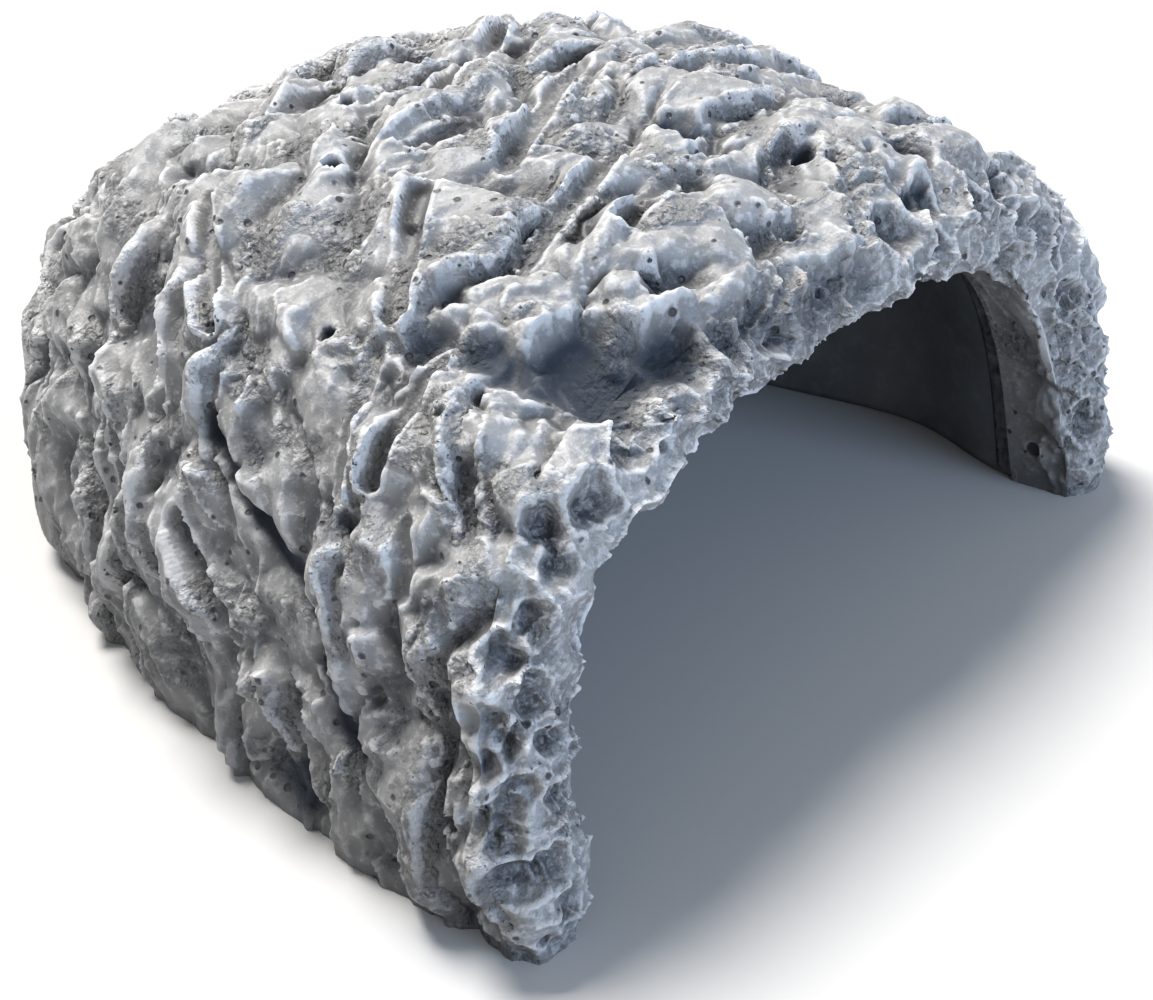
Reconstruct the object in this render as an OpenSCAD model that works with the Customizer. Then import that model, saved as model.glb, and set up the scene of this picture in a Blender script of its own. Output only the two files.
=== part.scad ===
// Resin cave ornament: a hollow rock dome with one arched mouth and an open bottom.
// Origin: middle of the footprint, on the surface that the cave stands on.
// The mouth faces -Y, the dome runs back along +Y, and +Z is up.
// Every surface is a row of arches. An arch is named by its station (0 at the
// mouth, 1 at the back tip) and a point on it by its turn (0 at the -X foot,
// 90 at the crown, 180 at the +X foot).

/* [Overall form] */
// Width across the two feet at the mouth
width = 248; // [200:1:300]
// Depth from the mouth plane to the back tip
depth = 258; // [210:1:315]
// Height of the rock over the mouth
front_h = 102; // [84:1:124]
// Extra height of the dome half way back, as a share of the height there
crown_swell = 0.35; // [0.2:0.01:0.5]
// How early the plan narrows towards the back
plan_taper = 1.15; // [0.9:0.05:1.5]
// How early the crown comes down towards the back
crown_taper = 1.1; // [0.9:0.05:1.5]
// Squareness of the rock arches at the sides
side_power = 3.6; // [2:0.1:4.5]
// Squareness of the rock arches at the crown
crown_power = 2.7; // [2:0.1:4]
// How far the arches lean back for each unit of height, at the mouth
lean = 0.19; // [0:0.01:0.25]

/* [Mouth] */
// Width of the mouth at the ground
mouth_w = 197; // [150:1:205]
// Height of the mouth
mouth_h = 81; // [60:1:86]
// Sideways place of the middle of the mouth
mouth_x = -3; // [-5:0.5:5]
// Squareness of the mouth arch at the sides
mouth_side_power = 3.3; // [2:0.1:4]
// Squareness of the mouth arch at the crown
mouth_crown_power = 3; // [2:0.1:4]
// Depth of the turned-in lip, from the mouth plane
lip_depth = 19; // [15:0.5:30]
// How far the middle of the front face swells forwards of its edges
face_swell = 7; // [3:0.5:9]
// How far the edges of the front face are set back from the mouth plane
edge_setback = 6; // [4:0.5:8]

/* [Walls] */
// Thickness of the cast rock skin behind the lip
rock_wall = 9; // [7:0.5:12]
// Thickness of the smooth liner
liner_wall = 3; // [2:0.25:4]
// Step from the smooth return of the lip out to the liner
seam_step = 2.5; // [1.5:0.25:4]
// Distance over which the liner flares out behind the lip
flare = 45; // [25:1:70]
// Height of the straight foot under the arches, which the liner stops short of
foot_h = 2; // [1.5:0.25:3]
// Depth of the paste bead in the step behind the lip
bead_w = 5; // [3:0.25:7]

/* [Relief] */
// Height of the rock ledges, which run over the dome as arches
ledge_h = 2.4; // [0:0.1:3]
// Distance from one ledge to the next
ledge_pitch = 33; // [25:0.5:45]
// Height of the lumps on and between the ledges
lump_h = 1.8; // [0:0.1:2.5]
// Size of the lumps
lump_size = 46; // [36:1:60]

/* [Hidden] */

rock_grey = [0.62, 0.63, 0.65];
liner_grey = [0.24, 0.24, 0.25];
bead_grey = [0.15, 0.15, 0.16];

// Number of steps along each arch, and of stations behind the lip
turn_steps = 46;
back_steps = 25;
// The last ring before the back tip, as a share of the way there
last_station = 0.975;
// Points of the front face, as shares of the way from the rim to the inner edge
face_steps = [0.1, 0.3, 0.5, 0.7, 0.9, 1];
// Roundness of the front face: higher is flatter with tighter edges
face_power = 2.4;
// The inner edge stands this much further forward than the rim
edge_lead = 3;
// How deep the middle of the bead is tucked into its corner
bead_tuck = 0.35;

turns = [for (i = [0 : turn_steps]) 180 * i / turn_steps];
mouth_half = mouth_w / 2;
middle_y = (depth - edge_setback) / 2;
edge_y = edge_setback - edge_lead;
lip_rows = len(face_steps) + 2;

// Station at which the middle of the foot has this y
function station(y) = asin(y / depth) / 90;
rim_station = station(edge_setback);
lip_station = station(lip_depth);
bead_station = station(lip_depth + bead_w);

// Stations from the back to the lip: evenly spaced, then the two at the bead
back_stations = concat(
    [for (i = [0 : back_steps - 1])
        last_station + (bead_station - last_station) * i / (back_steps - 1)],
    [lip_station]
);

function mix(a, b, t) = a + (b - a) * t;
function smooth(t) = let (c = min(1, max(0, t))) c * c * (3 - 2 * c);

// One arch that stands on the straight foot, as [x, height]
function arch(half, high, sides, crown, turn) = [
    -half * cos(turn),
    foot_h + (high - foot_h) * pow(max(0, 1 - pow(abs(cos(turn)), sides)), 1 / crown)
];

// The rock's smooth outer form
function half_width(s) = width / 2 * pow(cos(90 * s), plan_taper);
function crown_height(s) =
    let (top = front_h * pow(cos(90 * s), crown_taper) * (1 + crown_swell * sin(180 * s)))
    max(foot_h, top);
function set_back(p, s) = [p.x, depth * sin(90 * s) + lean * p.y * (1 - s), p.y];
function form(s, turn) =
    set_back(arch(half_width(s), crown_height(s), side_power, crown_power, turn), s);

// The smooth form's outward direction, level where the form meets the foot
function outward(s, turn) =
    let (
        ds = 0.004,
        dt = 0.5,
        along = form(min(last_station, s + ds), turn) - form(s - ds, turn),
        round = form(s, min(179.9, turn + dt)) - form(s, max(0.1, turn - dt)),
        n = cross(round, along),
        flat = turn <= 0 || turn >= 180 ? [n.x, n.y, 0] : n
    )
    flat / norm(flat);

// Height of the rock relief at a point of the smooth form
function ledges(p) =
    let (wave = 360 * (p.y + 0.25 * abs(p.x) + 5 * sin(3 * p.x)) / ledge_pitch)
    ledge_h * (sin(wave) + 0.35 * sin(2 * wave + 60)) / 1.2;
function lumps(p) =
    let (k = 360 / lump_size)
    lump_h * (sin(k * p.x + 70) * sin(k * p.y) + 0.6 * sin(1.7 * k * p.z + k * p.x + 20)
        * sin(1.6 * k * p.y + 0.8 * k * p.x)) / 1.3;
function relief(p) = ledges(p) + lumps(p) - ledge_h / 2;

function rock(s, turn) =
    let (p = form(s, turn))
    p + outward(s, turn) * relief(p);

// The mouth arch, grown by a margin, at a distance behind the mouth plane
function mouth(grow, y, turn) =
    let (
        a = arch(mouth_half + grow, mouth_h + grow, mouth_side_power, mouth_crown_power, turn)
    )
    [a.x + mouth_x, y + lean * a.y, a.y];

// The front face between the rim and the inner edge
function face(t, turn) =
    let (
        p = mix(rock(rim_station, turn), mouth(0, edge_y, turn), t),
        swell = face_swell * (1 - pow(abs(2 * t - 1), face_power)),
        rough = 0.35 * lumps(p) * (1 - t)
    )
    p - [0, swell + rough, 0];

// A surface inside the rock: it leaves the lip as the grown mouth arch and
// flares out to lie a set depth below the smooth form
function inside(grow, under, s, turn) =
    let (
        y = depth * sin(90 * s),
        near_lip = mouth(grow, y, turn),
        near_rock = form(s, turn) - outward(s, turn) * under,
        high = [near_rock.x, near_rock.y, max(foot_h, near_rock.z)]
    )
    mix(near_lip, high, smooth((y - lip_depth) / flare));
function seat(s, turn) = inside(seam_step + liner_wall, rock_wall, s, turn);
function lining(s, turn) = inside(seam_step, rock_wall + liner_wall, s, turn);
function tip(under) = [0, depth - under, foot_h];

// A row of points along an arch, with the straight foot down to the ground
function on_foot(row) = concat(
    [[row[0].x, row[0].y, 0]],
    row,
    [[row[len(row) - 1].x, row[len(row) - 1].y, 0]]
);

function split(a, b, c, d) = [
    if (a != b && b != c && a != c) [a, c, b],
    if (a != c && c != d && a != d) [a, d, c]
];

// A closed solid from rows of points. The first and last rows close on the
// tips, which are one point or, with a straight foot, a low and a high one.
// Row i and the row as far from the other end face each other across the wall.
module vault(rows, first_tip, last_tip) {
    n = len(rows);
    k = len(rows[0]);
    low = len(first_tip) - 1;
    base = 2 * len(first_tip);
    last = len(first_tip);
    function end(j) = j == 0 || j == k - 1 ? 0 : low;
    function at(i, j) =
        i == 0 ? end(j) : i == n + 1 ? last + end(j) : base + (i - 1) * k + j;
    // The second half is cut along the other diagonal, so that two vaults that
    // share a surface share its triangles
    bands = [for (i = [0 : n], j = [0 : k - 2])
        let (a = at(i, j), b = at(i + 1, j), c = at(i + 1, j + 1), d = at(i, j + 1))
        each 2 * i < n ? split(a, b, c, d) : split(b, c, d, a)];
    soles = [for (i = [0 : n / 2 - 1], e = [0, k - 1])
        let (a = at(i, e), b = at(i + 1, e), c = at(n - i, e), d = at(n + 1 - i, e))
        each e == 0 ? split(a, d, c, b) : split(a, b, c, d)];
    polyhedron(points = concat(first_tip, last_tip, [for (r = rows) each r]),
        faces = concat(bands, soles), convexity = 8);
}

// A closed solid from a loop of rows, capped at both ends of the arches
module bead(rows) {
    n = len(rows);
    k = len(rows[0]);
    function at(i, j) = (i % n) * k + j;
    bands = [for (i = [0 : n - 1], j = [0 : k - 2])
        each split(at(i, j), at(i + 1, j), at(i + 1, j + 1), at(i, j + 1))];
    caps = [for (i = [1 : n - 2])
        each [[at(0, 0), at(i, 0), at(i + 1, 0)], [at(0, k - 1), at(i + 1, k - 1), at(i, k - 1)]]];
    polyhedron(points = [for (r = rows) each r], faces = concat(bands, caps), convexity = 8);
}

// The arches are worked out from the mouth plane, and placed on the footprint's middle
module placed() {
    translate([0, -middle_y, 0]) children();
}

// The cast rock: outer skin, front face, turned-in lip and the seat of the liner
module rock_shell() {
    outer = concat(
        [for (s = back_stations) [for (t = turns) rock(s, t)]],
        [for (s = [(lip_station + rim_station) / 2, rim_station]) [for (t = turns) rock(s, t)]],
        [for (f = face_steps) [for (t = turns) face(f, t)]]
    );
    lip = [for (i = [1 : lip_rows])
        [for (t = turns) mouth(0, mix(edge_y, lip_depth, i / lip_rows), t)]];
    seat_rows = [for (i = [len(back_stations) - 1 : -1 : 0])
        [for (t = turns) seat(back_stations[i], t)]];
    rows = [for (r = concat(outer, lip, seat_rows)) on_foot(r)];
    back = tip(0) + [0, relief(tip(0)), 0];
    inner = tip(rock_wall);
    color(rock_grey) placed()
        vault(rows, [[0, back.y, 0], back], [[0, inner.y, 0], inner]);
}

// The smooth backing that lines the rock from the lip to the back
module inner_liner() {
    outer = [for (s = back_stations) [for (t = turns) seat(s, t)]];
    inner = [for (i = [len(back_stations) - 1 : -1 : 0])
        [for (t = turns) lining(back_stations[i], t)]];
    color(liner_grey) placed()
        vault(concat(outer, inner), [tip(rock_wall)], [tip(rock_wall + liner_wall)]);
}

// The paste bead that bonds the liner into the corner behind the lip
module seam_bead() {
    corner = [for (t = turns) lining(lip_station, t)];
    back_edge = [for (t = turns) lining(bead_station, t)];
    lip_edge = [for (t = turns) mouth(0.15 * seam_step, lip_depth, t)];
    middle = [for (i = [0 : turn_steps])
        mix((back_edge[i] + lip_edge[i]) / 2, corner[i], bead_tuck)];
    color(bead_grey) placed()
        bead([lip_edge, middle, back_edge, corner]);
}

rock_shell();
inner_liner();
seam_bead();
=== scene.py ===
import math

import bpy
import numpy as np
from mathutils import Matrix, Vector


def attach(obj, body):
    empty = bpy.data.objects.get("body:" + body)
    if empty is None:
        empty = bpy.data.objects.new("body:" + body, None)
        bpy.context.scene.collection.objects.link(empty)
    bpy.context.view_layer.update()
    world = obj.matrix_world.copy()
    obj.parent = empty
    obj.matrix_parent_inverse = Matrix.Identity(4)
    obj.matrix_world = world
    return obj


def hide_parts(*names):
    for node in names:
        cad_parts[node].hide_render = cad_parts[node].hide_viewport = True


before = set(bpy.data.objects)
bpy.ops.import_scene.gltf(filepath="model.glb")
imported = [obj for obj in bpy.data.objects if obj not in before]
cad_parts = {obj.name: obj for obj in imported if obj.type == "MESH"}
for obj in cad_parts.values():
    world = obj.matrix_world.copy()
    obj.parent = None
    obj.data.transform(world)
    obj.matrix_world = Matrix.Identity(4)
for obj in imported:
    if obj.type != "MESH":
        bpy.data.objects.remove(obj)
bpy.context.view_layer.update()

MM = 0.001

# ---------------------------------------------------------------- form
# The smooth form under the relief, with the CAD's own names and values, in
# millimetres from the mouth plane. A station runs from 0 at the mouth to 1 at
# the back tip, a turn from 0 at the -X foot over the crown to 180 degrees.
WIDTH, DEPTH, FRONT_H = 248, 258, 102
CROWN_SWELL, PLAN_TAPER, CROWN_TAPER = 0.35, 1.15, 1.1
SIDE_POWER, CROWN_POWER, LEAN = 3.6, 2.7, 0.19
MOUTH_HALF, MOUTH_H, MOUTH_X = 98.5, 81, -3
MOUTH_SIDE_POWER, MOUTH_CROWN_POWER = 3.3, 3.0
LIP_DEPTH, FACE_SWELL, EDGE_SETBACK, EDGE_Y, FACE_POWER = 19, 7, 6, 3, 2.4
ROCK_WALL, LINER_WALL, SEAM_STEP, FLARE, FOOT_H, BEAD_W = 9, 3, 2.5, 45, 2, 5
# The shared frame's origin is on the ground, under the middle of the depth
MIDDLE_Y = (DEPTH - EDGE_SETBACK) / 2
# The last row of points; from there the mesh closes on a tip
LAST_STATION = 0.975
# How far the relief may rise and sink, and how much deeper it may sink in the thick brow
RELIEF_UP, RELIEF_DOWN, BROW_DOWN = 5.0, 7.8, 5.0
# The liner stands clear of the rock by the gap; lowest points of the skin's relief and of the liner
LINER_GAP, SKIN_FOOT, LINER_FOOT = 0.05, 0.5, 0.4

# Points along and across the rock's skin
TURNS = 540
DOME_ROWS = 400
FACE_ROWS = 60
RETURN_ROWS = 28
SEAT_ROWS = 20


def arch(half, high, sides, crown, turn):
    """A flattened arch: x across and z up, from one foot over the crown to the other."""
    x = -half * np.cos(turn)
    rise = np.clip(1 - np.abs(np.cos(turn)) ** sides, 0, 1) ** (1 / crown)
    return x, FOOT_H + (high - FOOT_H) * rise


def form(s, turn):
    """Points of the rock's smooth outer form."""
    half = WIDTH / 2 * np.cos(s * np.pi / 2) ** PLAN_TAPER
    swell = 1 + CROWN_SWELL * np.sin(s * np.pi)
    high = FRONT_H * np.cos(s * np.pi / 2) ** CROWN_TAPER * swell
    x, z = arch(half, np.maximum(high, FOOT_H), SIDE_POWER, CROWN_POWER, turn)
    y = DEPTH * np.sin(s * np.pi / 2) + LEAN * z * (1 - s)
    return np.stack(np.broadcast_arrays(x, y, z), -1)


def mouth(grow, y, turn):
    """Points of the mouth's arch, grown outwards by so much, this far behind the mouth plane."""
    x, z = arch(MOUTH_HALF + grow, MOUTH_H + grow, MOUTH_SIDE_POWER, MOUTH_CROWN_POWER, turn)
    return np.stack(np.broadcast_arrays(x + MOUTH_X, y + LEAN * z, z), -1)


def station(y):
    """The station this far behind the mouth plane, at the ground."""
    return math.asin(y / DEPTH) * 2 / math.pi


def grid_normals(p):
    """Outward unit normals of rows that run from the back to the mouth, level at the feet."""
    n = np.cross(np.gradient(p, axis=0), np.gradient(p, axis=1))
    n[:, 0, 2] = 0
    n[:, -1, 2] = 0
    return n / np.maximum(np.linalg.norm(n, axis=-1, keepdims=True), 1e-9)


def smooth(t):
    t = np.clip(t, 0, 1)
    return t * t * (3 - 2 * t)


def inside(grow, under, stations, turns):
    """The surface that leaves the lip as the grown mouth arch and flares out under the rock."""
    s = np.asarray(stations)[:, None]
    y = DEPTH * np.sin(s * np.pi / 2)
    outer = form(s, turns[None, :])
    deep = outer - grid_normals(outer) * under
    deep[..., 2] = np.maximum(deep[..., 2], FOOT_H)
    t = smooth((y - LIP_DEPTH) / FLARE)[..., None]
    return mouth(grow, y, turns[None, :]) * (1 - t) + deep * t


def run_length(p):
    """Length along a line of points, up to each of them."""
    return np.concatenate([[0], np.cumsum(np.linalg.norm(np.diff(p, axis=0), axis=1))])


def even_turns(count):
    """Turns that are evenly spaced along the arch at station 0.2."""
    fine = np.linspace(0, np.pi, 4000)
    along = run_length(form(0.2, fine))
    return np.interp(np.linspace(0, along[-1], count), along, fine)


def even_stations(first, last, count):
    """Stations that are evenly spaced along the skin, on average over the crown and the shoulder."""
    fine = np.linspace(first, last, 2000)
    shoulder, crown = 0.25 * np.pi, 0.5 * np.pi
    length = run_length(form(fine, shoulder)) + run_length(form(fine, crown))
    return np.interp(np.linspace(0, length[-1], count), length, fine)


# ---------------------------------------------------------------- noise
class Lattice:
    """Seeded random numbers for whole-numbered places in space.

    A number that is added to the points before they are looked up picks another part of the same
    noise, so that two layers from one lattice don't repeat each other.
    """

    COUNT = 1024

    def __init__(self, seed):
        rng = np.random.RandomState(seed)
        self.order = rng.permutation(self.COUNT)
        ways = rng.normal(size=(self.COUNT, 3))
        self.ways = ways / np.linalg.norm(ways, axis=1, keepdims=True)
        self.places = rng.uniform(size=(self.COUNT, 4))

    def at(self, i):
        """Which of the random numbers belongs to each place."""
        k = 0
        for axis in range(i.shape[-1]):
            k = self.order[(k + i[..., axis]) & (self.COUNT - 1)]
        return k

    def noise(self, p, size):
        """Smooth noise from about -1 to 1, with lumps of about this size."""
        q = p / size
        i = np.floor(q).astype(np.int64)
        f = q - i
        w = f * f * f * (f * (f * 6 - 15) + 10)
        total = 0
        for corner in np.ndindex(2, 2, 2):
            c = np.array(corner)
            way = self.ways[self.at(i + c)]
            share = np.prod(np.where(c == 1, w, 1 - w), axis=-1)
            total = total + share * np.einsum("...i,...i", way, f - c)
        return total * 1.6

    def cells(self, p, size):
        """Distance to the nearest seeded point, the way from it, and its own number.

        The points have 2 or 3 coordinates, and distances are in cells of this size.
        """
        q = p / size
        i = np.floor(q).astype(np.int64)
        f = q - i
        ways = f.shape[-1]
        near = np.full(f.shape[:-1], 9.0)
        offset, number = np.zeros(f.shape), np.zeros(f.shape[:-1])
        for corner in np.ndindex(*[3] * ways):
            c = np.array(corner) - 1
            place = self.places[self.at(i + c)]
            to = c + 0.1 + 0.8 * place[..., :ways] - f
            d = np.sqrt((to * to).sum(-1))
            closer = d < near
            near = np.where(closer, d, near)
            offset = np.where(closer[..., None], -to, offset)
            number = np.where(closer, place[..., 3], number)
        return near, offset, number


def blur(a, rows, columns):
    """Box blur of a grid, twice, by running sums."""
    for _ in range(2):
        for axis, r in ((0, rows), (1, columns)):
            pad = [(r, r) if k == axis else (0, 0) for k in range(2)]
            c = np.cumsum(np.pad(a, pad, mode="edge"), axis=axis)
            c = np.concatenate([np.zeros_like(np.take(c, [0], axis=axis)), c], axis=axis)
            n = 2 * r + 1
            hi = np.take(c, range(n, c.shape[axis]), axis=axis)
            lo = np.take(c, range(0, c.shape[axis] - n), axis=axis)
            a = (hi - lo) / n
    return a


# ---------------------------------------------------------------- relief
# Marks on the visible side are listed as points in millimetres from the
# mouth plane; each is moved onto the nearest part of the smooth skin.
# Rod marks: half-round channels, each from one point to another, and a radius
ROD_MARKS = [
    ((-82, 67, 102), (-52, 87, 113), 2.4),
    ((-108, 61, 77), (-89, 67, 98), 2.2),
    ((-105, 53, 81), (-85, 54, 99), 2.0),
    ((-92, 147, 73), (-98, 144, 56), 2.6),
    ((-98, 144, 56), (-102, 139, 38), 2.6),
    ((-70, 132, 106), (-93, 109, 92), 2.2),
    ((-20, 114, 117), (34, 136, 114), 2.2),
    ((-34, 80, 114), (20, 104, 117), 2.4),
    ((-56, 56, 109), (-8, 69, 113), 2.2),
    ((-24, 53, 110), (-12, 53, 110), 2.0),
    ((-36, 49, 109), (-22, 50, 110), 2.0),
    ((-110, 106, 53), (-115, 87, 36), 3.0),
    ((-108, 43, 77), (-113, 39, 66), 1.8),
]
# Deep crack down the left side
CRACK = [
    (-104, 101, 76), (-109, 89, 67), (-115, 69, 58), (-117, 60, 50), (-120, 54, 38), (-121, 48, 28),
]
# Recess under the brow of the stone face, darkened with painted shade
TROUGH = [
    (-76, 28, 98), (-60, 22, 100), (-46, 20, 98), (-31, 17, 96), (-13, 15, 93), (3, 15, 95),
]
# Irregular hollows: place, radius and depth. The first three deepen the recess.
HOLLOWS = [
    ((-67, 31, 101), 12, 13.0), ((-68, 22, 97), 10, 12.0), ((-54, 20, 99), 11, 10.0),
    ((-83, 57, 101), 6, 3.5), ((-80, 46, 100), 7, 5.0), ((-77, 37, 99), 7, 5.0),
    ((-44, 34, 105), 5, 5.0), ((8, 68, 113), 6, 4.5), ((-119, 68, 10), 9, 5.0), ((45, 32, 104), 6, 5.0),
    ((36, 20, 100), 6, 5.0), ((-114, 32, 66), 6, 3.0), ((-110, 60, 73), 6, 3.0),
    ((-106, 87, 78), 7, 3.0), ((-90, 136, 86), 7, 3.0), ((-74, 62, 105), 5, 2.5),
    ((-61, 151, 105), 6, 3.0),
]
# Scoops with a sharp rim, which crowd the stone face: place and radius
SCOOPS = [
    ((-118, 15, 52), 5), ((-121, 14, 44), 4.5), ((-115, 11, 47), 4.2), ((-120, 6, 21), 5.5),
    ((-98, 17, 81), 5), ((-98, 14, 74), 5), ((-113, 15, 62), 5), ((-109, 9, 55), 4.5),
    ((-108, 6, 45), 4), ((-121, 10, 31), 6), ((-114, 3, 22), 5), ((-109, 4, 34), 4.5),
    ((-117, 8, 37), 4.5), ((-107, 13, 67), 4.5), ((-87, 14, 83), 5.5), ((-74, 15, 89), 6),
    ((-59, 15, 91), 5), ((-40, 15, 93), 4.5), ((-24, 12, 91), 4), ((-112, 0, 12), 5),
    ((68, 16, 92), 7), ((83, 12, 78), 6), ((96, 8, 56), 6), ((103, 5, 41), 5),
    ((101, 3, 22), 6), ((53, 16, 94), 5), ((21, 18, 97), 7), ((34, 14, 90), 5),
    ((90, 14, 70), 5), ((76, 12, 84), 4.5), ((108, 8, 50), 5), ((110, 5, 32), 5),
]
# Round holes of the casting: place and radius
HOLES = [
    ((-95, 158, 31), 2.6), ((-31, 128, 115), 2.0), ((-17, 117, 117), 1.8), ((-54, 111, 114), 2.0),
    ((-93, 109, 92), 2.4), ((-89, 81, 98), 2.0), ((24, 44, 108), 2.2), ((95, 14, 12), 2.0),
]
# Rounded boulders that stand proud: place, radius and height
BOULDERS = [
    ((22, 74, 114), 14, 4.0), ((-113, 54, 68), 12, 2.5), ((-94, 160, 36), 9, 3.0),
    ((-74, 126, 105), 10, 3.0), ((-68, 58, 106), 9, 3.0), ((36, 45, 108), 12, 3.0),
    ((28, 135, 115), 10, 3.0), ((-64, 44, 105), 9, 3.5), ((-45, 44, 107), 11, 4.0),
    ((-25, 38, 107), 11, 4.0), ((-4, 40, 107), 10, 4.0), ((30, 38, 107), 11, 4.0),
    ((-78, 54, 102), 8, 3.0), ((-93, 36, 92), 8, 3.0), ((112, 20, 50), 12, 3.5),
]


def ridged(noise, width):
    """Turns smooth noise into crests: 1 on a crest, falling away on both sides."""
    return 1 - np.clip(np.abs(noise) / width, 0, 1.6)


def shaken(lattice, p, size, amount):
    """The same points, pushed about by noise so that nothing made from them is regular."""
    return p + amount * np.stack([lattice.noise(p + k, size) for k in (40, 70, 95)], -1)


def dome_relief(p):
    """Lumps, scarps and cups that run along the arches, and how near each point is to a scarp."""
    big, mid, fine = Lattice(3), Lattice(11), Lattice(29)
    # Upright arches, so that ledges lean as the mouth does
    q = p.copy()
    q[..., 1] = p[..., 1] - LEAN * p[..., 2]
    bent = shaken(mid, shaken(big, q, 26, 8.0), 7, 2.2) * [0.8, 1.0, 0.85]

    # Lumps with creases between them, tilted blocks, then large and small ledges in patches
    h = 9.0 * np.abs(big.noise(bent + 200, 21)) ** 0.8 - 3.4
    near, offset, number = big.cells(bent + 30, 17)
    h = h + 3.6 * (0.3 - near**2) + 4.0 * offset[..., 1] * (number - 0.3)
    where = smooth(0.6 + 1.6 * big.noise(q + 120, 34))
    step, scarp = ledge_steps(bent, 21, 0.13)
    h = h + 6.0 * where * step
    where_low = smooth(0.3 + 1.6 * mid.noise(q + 180, 26))
    step, low_scarp = ledge_steps(bent + 5, 9.5, 0.2)
    h = h + 1.5 * where_low * step

    # Cups, chips, and wrinkles
    near, offset, number = mid.cells(bent + 60, 10)
    h = h + 3.0 * (near**2 - 0.25) * (0.25 + number)
    h = h + 1.8 * (offset[..., 1] * (number - 0.2))
    near, _, number = fine.cells(bent * 1.2 + 160, 5)
    chipped = smooth(0.4 + 1.5 * mid.noise(q + 260, 22) + 0.5 * smooth((75 - p[..., 2]) / 50))
    h = h + 2.5 * chipped * (near**2 - 0.25) * (0.3 + number)
    wrinkles = fine.noise(bent * [0.6, 1, 0.6] + 80, 3.4)
    h = h + 1.1 * ridged(wrinkles, 0.4) * smooth(0.3 + 1.8 * mid.noise(q + 510, 17))
    return h, np.maximum(scarp * where, 0.6 * low_scarp * where_low)


def face_relief(p):
    """Scooped cups with sharp crests on the stone face round the mouth."""
    big, mid = Lattice(5), Lattice(17)
    bent = shaken(mid, shaken(big, p, 18, 4.0), 6, 1.2)[..., [0, 2]]
    near, offset, number = mid.cells(bent, 10)
    h = 7.0 * (near**2 - 0.2) * (0.3 + 0.9 * number)
    h = h + 3.0 * (offset[..., 1] * (number - 0.3))
    near, _, number = big.cells(bent + 90, 4.4)
    h = h + 4.2 * (near**2 - 0.2) * (0.2 + number)
    return h + 3.0 * mid.noise(p + 210, 19)


def ledge_steps(q, pitch, sharp):
    """Layers across the second way: each front edge stands proud and faces the mouth."""
    t = q[..., 1] / pitch
    f = t - np.floor(t)
    return smooth(f / sharp) * (1 - f) ** 0.8 - 0.42, np.exp(-(((f - sharp * 0.6) / sharp) ** 2))


def snap(skin, place):
    """The skin's point that is nearest to a place."""
    flat = skin.reshape(-1, 3)
    return flat[np.argmin(((flat - place) ** 2).sum(-1))]


def from_line(skin, places):
    """Distance from every skin point to a line along the skin through the places."""
    points = [
        snap(skin, np.array(a) * (1 - t) + np.array(b) * t)
        for a, b in zip(places[:-1], places[1:]) for t in (0, 0.25, 0.5, 0.75)
    ]
    points.append(snap(skin, places[-1]))
    nearest = np.full(skin.shape[:2], 1e9)
    for a, b in zip(points[:-1], points[1:]):
        way = b - a
        if way @ way < 1e-6:
            continue
        t = np.clip((skin - a) @ way / (way @ way), 0, 1)[..., None]
        nearest = np.minimum(nearest, ((skin - a - way * t) ** 2).sum(-1))
    return np.sqrt(nearest)


def hand_marks(skin, h):
    """Adds the listed marks to the carved height, and says where painted shade darkens the recesses."""
    rough = shaken(Lattice(41), shaken(Lattice(37), skin, 11, 3.0), 4, 1.0)
    bent = shaken(Lattice(43), skin, 7, 2.2)
    # How much painted shade darkens each point: in hollows, the trough, scoops, the crack and the holes
    recess_shade = np.zeros(h.shape)

    def from_place(points, place, radius):
        return np.sqrt(((points - snap(skin, place)) ** 2).sum(-1)) / radius

    for place, radius, height in BOULDERS:
        d = from_place(rough, place, radius)
        h = h + height * np.sqrt(np.clip(1 - d * d, 0, 1))
    for place, radius, depth in HOLLOWS:
        bowl = np.clip(1 - from_place(rough, place, radius) ** 2, 0, 1)
        h = h - depth * bowl**0.8
        recess_shade = np.maximum(recess_shade, bowl * min(depth / 6, 1))
    bowl = np.clip(1 - (from_line(rough, TROUGH) / 9) ** 2, 0, 1)
    h = h - 5.0 * bowl
    recess_shade = np.maximum(recess_shade, 0.4 * bowl)
    for place, radius in SCOOPS:
        d = from_place(bent, place, radius)
        bowl = np.clip(1 - d * d, 0, 1)
        h = h - 0.7 * radius * bowl + 0.9 * np.exp(-(((d - 1.1) / 0.2) ** 2))
        recess_shade = np.maximum(recess_shade, 0.22 * bowl)
    # A rod lay on the evened-out surface, and pressed up a small rim beside it
    level = blur(h, 26, 26)
    for start, end, radius in ROD_MARKS:
        d = from_line(skin, [start, end]) / radius
        cut = level - 0.2 - radius * 0.8 * np.sqrt(np.clip(1.02 - d * d, 0.02, 1))
        share = smooth((1.35 - d) / 0.4)
        h = h + 0.6 * np.exp(-(((d - 1.5) / 0.3) ** 2))
        h = h * (1 - share) + cut * share
    d = from_line(rough, CRACK)
    h = h - 6.0 * np.exp(-((d / 1.5) ** 2)) - 2.0 * np.exp(-((d / 5) ** 2))
    recess_shade = np.maximum(recess_shade, np.exp(-((d / 2.2) ** 2)))
    for place, radius in HOLES:
        pit = smooth((1.15 - from_place(skin, place, radius)) / 0.4)
        h = h - 5.0 * pit
        recess_shade = np.maximum(recess_shade, pit)
    return h, recess_shade


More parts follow.
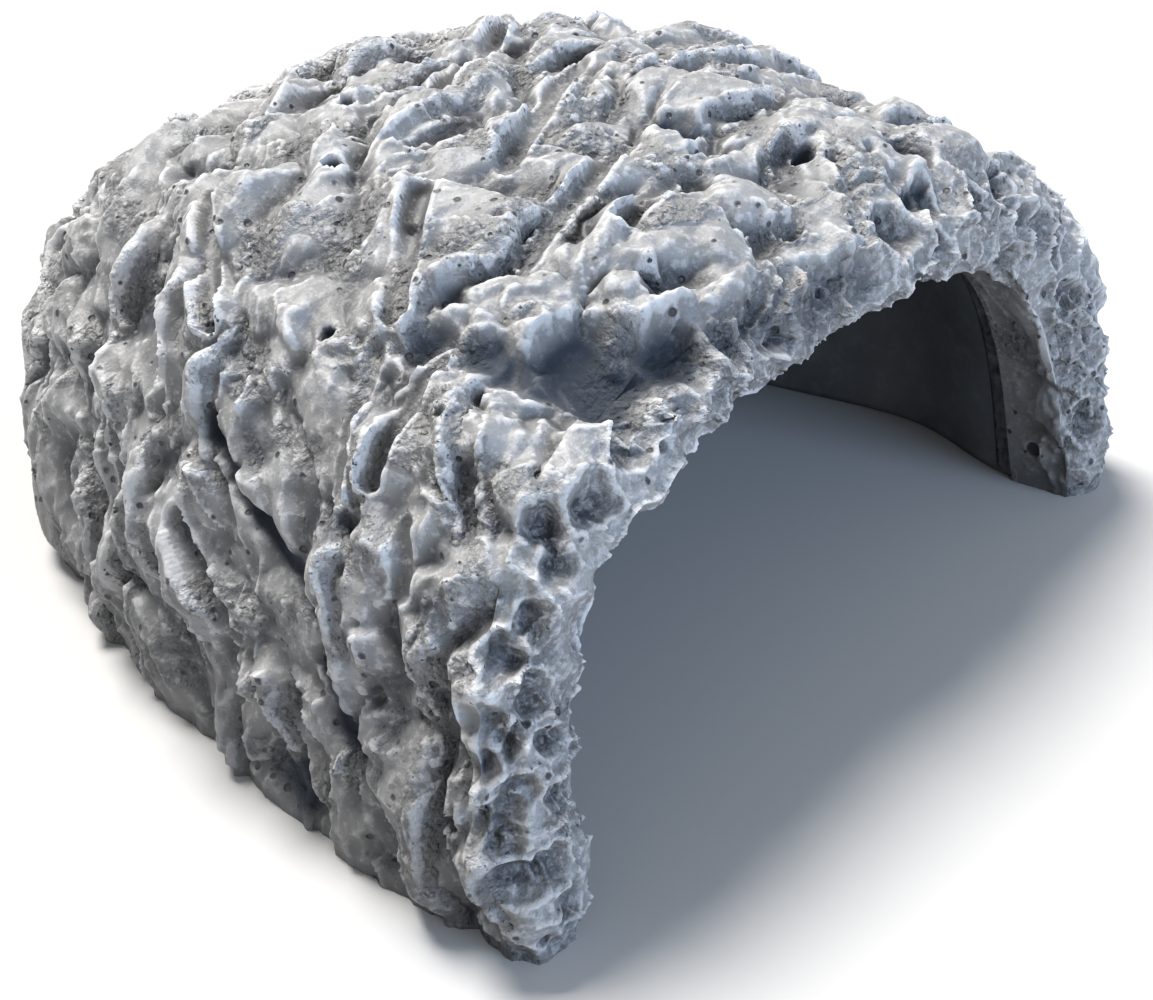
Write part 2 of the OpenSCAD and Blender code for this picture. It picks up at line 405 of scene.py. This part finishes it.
def rock_relief(skin, normals):
    """Height of the carved rock over the smooth form, and what its paint follows."""
    big, mid, fine = Lattice(7), Lattice(13), Lattice(31)
    frontal = smooth((-normals[..., 1] - 0.35) / 0.4)
    # Broad swells, with the face's relief where the skin looks forward and the dome's elsewhere
    h = 3.4 * big.noise(skin, 58) + 1.8 * big.noise(skin + 31, 29)
    dome, scarp = dome_relief(skin)
    h = h + dome * (1 - frontal) + face_relief(skin) * frontal
    h, recess_shade = hand_marks(skin, h)

    # Rubble in patches and along the scarps
    grain_mask = smooth(0.2 + 1.7 * mid.noise(skin + 400, 14) + 0.8 * scarp)
    near, _, number = fine.cells(shaken(mid, skin, 3, 1.2) + 70, 3.2)
    grains = 1.4 * (number - 0.5) * smooth((0.62 - near) / 0.4) + 0.5 * fine.noise(skin + 9, 2.4)
    h = h + grain_mask * grains
    # What stands over its surroundings stands a little more
    h = h + 0.12 * (h - blur(h, 5, 4)) * (1 - frontal)
    # Round pits in some of the cells, each with its own width
    near, _, number = mid.cells(skin + 800, 12)
    radius = np.where(number > 0.3, 0.06 + 0.12 * (number - 0.3), 0.0)
    h = h - 2.6 * smooth((radius - near) / 0.06 + 0.5) * (radius > 0)
    # Steep scarps make steps between neighbouring rows, which this softens
    h = h + 0.3 * (1 - frontal) * (blur(h, 1, 1) - h)
    return h, {"grain": grain_mask, "recess_shade": recess_shade, "frost": frontal}


def vault_faces(n, k, base, tips):
    """Quads between n rows of k points, numbered from base, and a fan from an end row to each tip.

    A tip is two points, one on the ground and one over it.
    """
    i, j = np.meshgrid(np.arange(n - 1), np.arange(k - 1), indexing="ij")
    a = base + i * k + j
    quads = np.stack([a, a + k, a + k + 1, a + 1], -1).reshape(-1, 4).tolist()
    fans = []
    for (low, high), start, flip in tips:
        ends = [low] + [high] * (k - 2) + [low]
        for c in range(k - 1):
            loop = [ends[c], start + c, start + c + 1, ends[c + 1]]
            if loop[0] == loop[3]:
                loop = loop[:3]
            fans.append(loop[::-1] if flip else loop)
    return quads + fans


def strip_faces(first, second, verts, flip):
    """Triangles on the ground between two lines that come forward side by side.

    The first line may then turn in round the end of the second.
    """
    shares = []
    lip = verts[second[-1], 1]
    for line in (first, second):
        y = verts[line, 1]
        forward = y[0] - np.maximum(y, lip)
        shares.append(np.maximum.accumulate(forward) / (y[0] - lip))
    last_i, last_j = len(first) - 1, len(second) - 1
    faces, i, j = [], 0, 0
    while i < last_i or j < last_j:
        on_first = i < last_i and (j == last_j or shares[0][i + 1] < shares[1][j + 1])
        loop = [first[i], first[i + 1] if on_first else second[j + 1], second[j]]
        i, j = (i + 1, j) if on_first else (i, j + 1)
        faces.append(loop[::-1] if flip else loop)
    return faces


def vault_object(name, rows, turning, first_tip, last_tip, attributes):
    """A closed mesh from rows of arches with straight feet, closed on a tip at each end.

    The rows run along the outside to the mouth, and from row number turning back along the inside.
    """
    n, k = rows.shape[:2]
    tips = np.array(first_tip + last_tip)
    verts = np.concatenate([tips, rows.reshape(-1, 3)])
    verts = (verts - [0, MIDDLE_Y, 0]) * MM
    base = len(tips)
    end = base + (n - 1) * k
    faces = vault_faces(n, k, base, [((0, 1), base, False), ((2, 3), end, True)])
    for column, flip in ((0, True), (k - 1, False)):
        outer_line = [0] + [base + i * k + column for i in range(turning)]
        inner_line = [2] + [base + i * k + column for i in range(n - 1, turning - 1, -1)]
        faces += strip_faces(outer_line, inner_line, verts, flip)
    # Everything is shaded smooth but the flat strips on the ground
    low = verts[:, 2].min() + 1e-6
    mesh = bpy.data.meshes.new(name)
    mesh.from_pydata(verts.tolist(), [], faces)
    flat = [len(f) == 3 and all(verts[v, 2] < low for v in f) for f in faces]
    mesh.polygons.foreach_set("use_smooth", [not f for f in flat])
    for key, values in attributes.items():
        layer = mesh.attributes.new(key, "FLOAT", "POINT")
        layer.data.foreach_set("value", np.concatenate([np.zeros(base), values.ravel()]))
    mesh.update()
    obj = bpy.data.objects.new(name, mesh)
    bpy.context.scene.collection.objects.link(obj)
    return obj


def on_foot(grid, low=None):
    """Adds a column at each side of the grid: straight under it at this height, or a copy."""
    first, last = grid[:, :1].copy(), grid[:, -1:].copy()
    if low is not None:
        first[..., 2] = low
        last[..., 2] = low
    return np.concatenate([first, grid, last], axis=1)


def make_rock():
    """The casting: dome, stone face and lip as one carved skin, and the seat behind the liner."""
    turns = even_turns(TURNS)
    rim = station(EDGE_SETBACK)
    stations = even_stations(LAST_STATION, rim, DOME_ROWS)
    dome = form(stations[:, None], turns[None, :])
    t = np.linspace(0, 1, FACE_ROWS + 1)[1:, None, None]
    edge = mouth(0, EDGE_Y, turns)
    face = dome[-1] * (1 - t) + edge * t
    face[..., 1] -= (FACE_SWELL * (1 - np.abs(2 * t - 1) ** FACE_POWER))[..., 0]
    lip_y = np.linspace(EDGE_Y, LIP_DEPTH, RETURN_ROWS + 1)[1:]
    lip = np.stack([mouth(0, y, turns) for y in lip_y])
    skin = np.concatenate([dome, face, lip])

    # Full relief on the dome, less on the lip, and none where the rock meets the liner
    weight = np.concatenate([
        np.ones(DOME_ROWS),
        np.linspace(1, 0.75, FACE_ROWS),
        0.75 * np.linspace(1, 0, RETURN_ROWS) ** 1.3,
    ])[:, None]
    normals = grid_normals(skin)
    h, paint = rock_relief(skin, normals)
    # The relief is calmer near the ground, and the foot tucks in under it
    low = smooth(skin[..., 2] / 9)
    h = (h - 1.2) * (0.25 + 0.75 * low)
    corner = smooth((40 - skin[..., 1]) / 25)
    tuck = (1.4 + 2.0 * corner) * np.exp(-((skin[..., 2] / (4 + 3 * corner)) ** 2))
    brow = smooth((48 - skin[..., 1]) / 30) * smooth((skin[..., 2] - 12) / 20)
    deepest = RELIEF_DOWN + BROW_DOWN * brow
    h = np.where(h > 0, RELIEF_UP * np.tanh(h / RELIEF_UP), deepest * np.tanh(h / deepest))
    h = (h - tuck) * weight - 0.35 * tuck * (1 - weight)
    skin = skin + normals * h[..., None]
    skin[..., 2] = np.maximum(skin[..., 2], SKIN_FOOT)

    seat_stations = np.linspace(station(LIP_DEPTH), LAST_STATION, SEAT_ROWS)
    seat = inside(SEAM_STEP + LINER_WALL, ROCK_WALL, seat_stations[::-1], turns)[::-1]
    rows = on_foot(np.concatenate([skin, seat]), 0)

    # How far each point stands over its neighbours, and over its wider surroundings
    paint["crest"] = 2 * (h - blur(h, 1, 1))
    paint["cavity"] = h - blur(h, 12, 12)
    hidden = np.zeros((SEAT_ROWS, TURNS))
    paint = {key: on_foot(np.concatenate([a, hidden])[..., None]) for key, a in paint.items()}
    x, y, z = skin[0].mean(axis=0)
    inner = DEPTH - ROCK_WALL
    rock = vault_object(
        "rock_skin", rows, len(skin),
        [[x, y, 0], [x, y, z]], [[0, inner, 0], [0, inner, FOOT_H]], paint,
    )
    rock.data.set_sharp_from_angle(angle=math.radians(70))
    return rock


def make_liner():
    """The smooth backing, with slight waves on the side that shows."""
    turns = even_turns(150)
    stations = np.linspace(station(LIP_DEPTH), LAST_STATION, 90)[::-1]
    outer = inside(SEAM_STEP + LINER_WALL - LINER_GAP, ROCK_WALL + LINER_GAP, stations, turns)
    inner = inside(SEAM_STEP, ROCK_WALL + LINER_WALL, stations, turns)
    mid = Lattice(51)
    waves = 0.7 * mid.noise(inner, 26) + 0.25 * mid.noise(inner + 30, 9)
    # No waves under the bead
    fade = smooth((stations[:, None] - station(LIP_DEPTH + BEAD_W)) / 0.06)
    inner = inner + grid_normals(inner) * (np.minimum(waves, 0.6) * fade)[..., None]
    rows = on_foot(np.concatenate([outer, inner[::-1]]), LINER_FOOT)
    back, front = DEPTH - ROCK_WALL, DEPTH - ROCK_WALL - LINER_WALL
    return vault_object(
        "liner_skin", rows, len(outer),
        [[0, back, LINER_FOOT], [0, back, FOOT_H]],
        [[0, front, LINER_FOOT], [0, front, FOOT_H]], {},
    )


def make_bead():
    """The paste in the corner behind the lip, with the air voids that it dried with."""
    turns = even_turns(420)
    mid, fine = Lattice(61), Lattice(67)
    # Its three sides meet on the back of the lip, on the liner, and sunk into the corner between
    edge = mouth(0.5, LIP_DEPTH + 0.1, turns)
    back = mouth(SEAM_STEP - 0.1, LIP_DEPTH + BEAD_W, turns)
    corner = mouth(SEAM_STEP + 0.3, LIP_DEPTH - 0.1, turns)
    t = np.linspace(0, 1, 9)[:, None, None]
    front = edge * (1 - t) + back * t
    to_corner = (corner - (edge + back) / 2)
    to_corner = to_corner / np.linalg.norm(to_corner, axis=-1, keepdims=True)
    near, _, number = fine.cells(front, 3.2)
    voids = 1.3 * (number > 0.3) * smooth((0.5 - near) / 0.25)
    sag = (0.3 + voids + 0.4 * mid.noise(front, 5)) * np.sin(t[..., 0] * np.pi)
    front = front + to_corner * sag[..., None]
    rings = np.concatenate([front, corner[None]]).transpose(1, 0, 2)
    k, m = rings.shape[:2]
    verts = (rings.reshape(-1, 3) - [0, MIDDLE_Y, 0]) * MM
    i, j = np.meshgrid(np.arange(k - 1), np.arange(m), indexing="ij")
    a, b = i * m + j, i * m + (j + 1) % m
    faces = np.stack([a, b, b + m, a + m], -1).reshape(-1, 4).tolist()
    faces += [list(range(m))[::-1], list(range((k - 1) * m, k * m))]
    mesh = bpy.data.meshes.new("bead_skin")
    mesh.from_pydata(verts.tolist(), [], faces)
    mesh.polygons.foreach_set("use_smooth", [len(f) == 4 for f in faces])
    obj = bpy.data.objects.new("bead_skin", mesh)
    bpy.context.scene.collection.objects.link(obj)
    return obj


rock, liner, bead = make_rock(), make_liner(), make_bead()
for piece, node, slot in (
    (rock, "rock_shell", "rock"), (liner, "inner_liner", "liner"), (bead, "seam_bead", "bead"),
):
    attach(piece, "root")
    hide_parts(node)


# ---------------------------------------------------------------- materials
class Nodes:
    """A short way to write a material's nodes. A scale is in cells per metre of the object."""

    def __init__(self, name):
        self.material = bpy.data.materials.new(name)
        self.material.use_nodes = True
        self.tree = self.material.node_tree
        self.shader = self.tree.nodes["Principled BSDF"]

    def add(self, kind, inputs=(), **settings):
        node = self.tree.nodes.new(kind)
        for key, value in settings.items():
            setattr(node, key, value)
        for key, value in dict(inputs).items():
            self.join(value, node.inputs[key])
        return node

    def join(self, value, socket):
        if isinstance(value, bpy.types.NodeSocket):
            self.tree.links.new(value, socket)
        else:
            socket.default_value = value

    def attribute(self, name):
        return self.add("ShaderNodeAttribute", attribute_name=name).outputs["Fac"]

    def noise(self, scale, detail=4, rough=0.55):
        at = self.add("ShaderNodeTexCoord").outputs["Object"]
        made = self.add(
            "ShaderNodeTexNoise",
            {"Vector": at, "Scale": scale, "Detail": detail, "Roughness": rough},
        )
        return made.outputs["Fac"]

    def cells(self, scale):
        at = self.add("ShaderNodeTexCoord").outputs["Object"]
        return self.add("ShaderNodeTexVoronoi", {"Vector": at, "Scale": scale})

    def cell_distance(self, scale):
        return self.cells(scale).outputs["Distance"]

    def cell_number(self, scale):
        colour = self.cells(scale).outputs["Color"]
        return self.add("ShaderNodeSeparateColor", {"Color": colour}).outputs[0]

    def ramp(self, value, low, high, to_low=0.0, to_high=1.0):
        made = self.add(
            "ShaderNodeMapRange",
            {"Value": value, "From Min": low, "From Max": high, "To Min": to_low, "To Max": to_high},
        )
        return made.outputs["Result"]

    def math(self, how, a, b):
        return self.add("ShaderNodeMath", {0: a, 1: b}, operation=how).outputs[0]

    def mix(self, share, a, b):
        """Colour a where the share is 0, b where it is 1."""
        made = self.add("ShaderNodeMix", data_type="RGBA")
        share_in, a_in, b_in, colour_out = 0, 6, 7, 2
        self.join(share, made.inputs[share_in])
        self.join(a, made.inputs[a_in])
        self.join(b, made.inputs[b_in])
        return made.outputs[colour_out]

    def bump(self, height, strength, distance, normal=None):
        made = self.add(
            "ShaderNodeBump", {"Height": height, "Strength": strength, "Distance": distance},
        )
        if normal is not None:
            self.join(normal, made.inputs["Normal"])
        return made.outputs["Normal"]


def rock_material():
    m = Nodes("cast_rock")
    crest, cavity, grain = m.attribute("crest"), m.attribute("cavity"), m.attribute("grain")
    blotch, speckle, grit = m.noise(60, 5, 0.6), m.noise(480, 4, 0.7), m.noise(1400, 3, 0.6)

    # Air pin holes: one in some of the cells, each with its own width
    width = m.ramp(m.cell_number(260), 0.35, 1.0, -0.05, 0.24)
    pin = m.ramp(m.math("SUBTRACT", width, m.cell_distance(260)), -0.05, 0.06)
    # Warts where there is rubble, and dark specks mostly there
    bubbles = m.math("MULTIPLY", m.ramp(m.cell_distance(560), 0.1, 0.5, 1, 0), m.cell_number(560))
    warts = m.math("MULTIPLY", bubbles, m.ramp(grain, 0.3, 0.9))
    sparse = m.ramp(m.noise(640, 2, 0.5), 0.34, 0.28)
    specks = m.math("MULTIPLY", sparse, m.ramp(grain, 0.2, 0.7, 0.25, 1.0))

    # Mottled grey with a little rust, painted shade in cavities, and darker on rubble
    body = m.mix(m.ramp(blotch, 0.35, 0.65), (0.165, 0.167, 0.17, 1), (0.235, 0.238, 0.243, 1))
    body = m.mix(m.ramp(speckle, 0.52, 0.7, 0, 0.35), body, (0.36, 0.365, 0.37, 1))
    rust = m.math("MULTIPLY", m.ramp(m.noise(38, 3, 0.6), 0.72, 0.78), m.ramp(crest, 0.0, 0.4))
    body = m.mix(rust, body, (0.42, 0.27, 0.17, 1))
    # Painted shade where the surface sinks below its wider surroundings
    deep = m.mix(m.ramp(cavity, -2.4, 0.4), (0.04, 0.042, 0.048, 1), body)
    rubbly = m.ramp(m.math("SUBTRACT", grain, warts), 0.3, 0.9, 0, 0.45)
    grained = m.mix(rubbly, deep, (0.07, 0.072, 0.076, 1))
    # Dry brushing: pale on crests, in specks on the front, palest on the sharpest crests
    dry = m.math("ADD", m.ramp(crest, 0.15, 0.85, 0, 1.3), m.ramp(speckle, 0.42, 0.62, -0.45, 0.35))
    frost = m.attribute("frost")
    dry = m.math("ADD", dry, m.math("MULTIPLY", frost, m.ramp(m.noise(300, 3, 0.7), 0.4, 0.6, 0, 0.5)))
    brushed = m.mix(m.ramp(dry, 0.0, 1.3, 0, 0.75), grained, (0.47, 0.475, 0.485, 1))
    brushed = m.mix(m.ramp(crest, 0.8, 2.2, 0, 0.35), brushed, (0.62, 0.63, 0.65, 1))
    # Shade near the ground, less on the front; painted shade in recesses and in pin holes; dark specks
    at = m.add("ShaderNodeTexCoord").outputs["Object"]
    height = m.add("ShaderNodeSeparateXYZ", {"Vector": at}).outputs["Z"]
    shade = m.math("MULTIPLY", m.ramp(height, 0.0, 0.055, 0.6, 0), m.ramp(frost, 0, 1, 1, 0.25))
    brushed = m.mix(shade, brushed, (0.03, 0.03, 0.03, 1))
    # Painted shade, near black and bluish, in the recesses, the crack and the holes
    recess_shaded = m.ramp(m.attribute("recess_shade"), 0.0, 0.6, 0, 0.88)
    brushed = m.mix(recess_shaded, brushed, (0.013, 0.02, 0.031, 1))
    # Painted shade in the pin holes, and dark specks
    dark = m.math("MAXIMUM", pin, specks)
    m.join(m.mix(dark, brushed, (0.025, 0.026, 0.03, 1)), m.shader.inputs["Base Color"])

    # Satin, and matt in the recesses that get painted shade
    satin = m.ramp(speckle, 0.35, 0.7, 0.48, 0.66)
    rough = m.math("MAXIMUM", satin, m.ramp(m.attribute("recess_shade"), 0, 0.6, 0, 0.95))
    m.join(rough, m.shader.inputs["Roughness"])
    # Rubble, warts, grit and pin holes that are too fine for the mesh
    roughest = m.math("MAXIMUM", m.ramp(grain, 0.25, 0.8, 0.12, 1.0), m.ramp(frost, 0, 1, 0, 0.6))
    rubble = m.math("MULTIPLY", m.noise(560, 3, 0.6), roughest)
    bumped = m.bump(warts, 0.9, 0.0008, m.bump(rubble, 0.7, 0.0018))
    bumped = m.bump(pin, 0.7, -0.0009, m.bump(grit, 0.3, 0.0005, bumped))
    m.join(bumped, m.shader.inputs["Normal"])
    return m.material


def liner_material():
    m = Nodes("dark_backing")
    scuffs = m.ramp(m.noise(140, 6, 0.7), 0.5, 0.72, 0, 0.4)
    tone = m.mix(m.ramp(m.noise(30, 4), 0.35, 0.65), (0.055, 0.058, 0.062, 1), (0.085, 0.089, 0.095, 1))
    m.join(m.mix(scuffs, tone, (0.15, 0.155, 0.165, 1)), m.shader.inputs["Base Color"])
    m.shader.inputs["Roughness"].default_value = 0.5
    m.join(m.bump(m.noise(260, 4), 0.3, 0.0008), m.shader.inputs["Normal"])
    return m.material


def bead_material():
    m = Nodes("dark_paste")
    tone = m.mix(m.ramp(m.noise(400, 4), 0.4, 0.65), (0.03, 0.031, 0.033, 1), (0.09, 0.093, 0.1, 1))
    m.join(tone, m.shader.inputs["Base Color"])
    m.shader.inputs["Roughness"].default_value = 0.6
    m.join(m.bump(m.noise(700, 3), 0.5, 0.0005), m.shader.inputs["Normal"])
    return m.material


rock.data.materials.append(rock_material())
liner.data.materials.append(liner_material())
bead.data.materials.append(bead_material())


# ---------------------------------------------------------------- setting
def sun_light(name, towards, strength, softness, colour):
    """A distant light that shines this way; its softness is its width in the sky, in degrees."""
    light = bpy.data.lights.new(name, "SUN")
    light.energy = strength
    light.angle = math.radians(softness)
    light.color = colour
    obj = bpy.data.objects.new(name, light)
    obj.rotation_mode = "QUATERNION"
    obj.rotation_quaternion = Vector(towards).to_track_quat("-Z", "Y")
    bpy.context.scene.collection.objects.link(obj)


def make_setting():
    """A soft warm light from above, a cool one from the front, pale surroundings and a floor."""
    scene = bpy.context.scene
    scene.view_settings.view_transform = "Standard"
    world = bpy.data.worlds.new("studio")
    scene.world = world
    world.use_nodes = True
    tree = world.node_tree
    tree.nodes["Background"].inputs["Color"].default_value = (0.95, 0.975, 1.0, 1)
    # Brighter near the horizon, so that a low view shows no dark edge where the floor ends
    way = tree.nodes.new("ShaderNodeTexCoord").outputs["Generated"]
    split = tree.nodes.new("ShaderNodeSeparateXYZ")
    tree.links.new(way, split.inputs[0])
    band = tree.nodes.new("ShaderNodeMapRange")
    tree.links.new(split.outputs["Z"], band.inputs["Value"])
    for key, value in (("From Min", 0.2), ("From Max", 0.4), ("To Min", 1.15), ("To Max", 0.42)):
        band.inputs[key].default_value = value
    tree.links.new(band.outputs["Result"], tree.nodes["Background"].inputs["Strength"])
    sun_light("overhead", (-0.1, -0.5, -1.0), 7.2, 24, (1.0, 0.965, 0.92))
    sun_light("cool_front", (0.0, 1.0, -0.32), 2.7, 36, (0.51, 0.7, 1.0))

    mesh = bpy.data.meshes.new("floor")
    half = 30.0
    corners = [(-half, -half, 0), (half, -half, 0), (half, half, 0), (-half, half, 0)]
    mesh.from_pydata(corners, [], [(0, 1, 2, 3)])
    floor = bpy.data.objects.new("floor", mesh)
    scene.collection.objects.link(floor)
    m = Nodes("pale_floor")
    m.shader.inputs["Base Color"].default_value = (0.42, 0.42, 0.42, 1)
    m.shader.inputs["Roughness"].default_value = 0.9
    mesh.materials.append(m.material)


def make_camera():
    """Close to the object, round to the left of the mouth's axis and above it, as in the photo."""
    azimuth, elevation, distance = math.radians(-51.3), math.radians(31.2), 0.4423
    target = Vector((-0.0353, -0.0659, 0.0409))
    back = Vector((
        math.sin(azimuth) * math.cos(elevation),
        -math.cos(azimuth) * math.cos(elevation),
        math.sin(elevation),
    ))
    data = bpy.data.cameras.new("camera")
    data.sensor_width = 36
    data.lens = 62.9
    data.clip_start = 0.02
    camera = bpy.data.objects.new("camera", data)
    camera.location = target + back * distance
    camera.rotation_mode = "QUATERNION"
    camera.rotation_quaternion = (-back).to_track_quat("-Z", "Y")
    bpy.context.scene.collection.objects.link(camera)
    bpy.context.scene.camera = camera


make_setting()
make_camera()
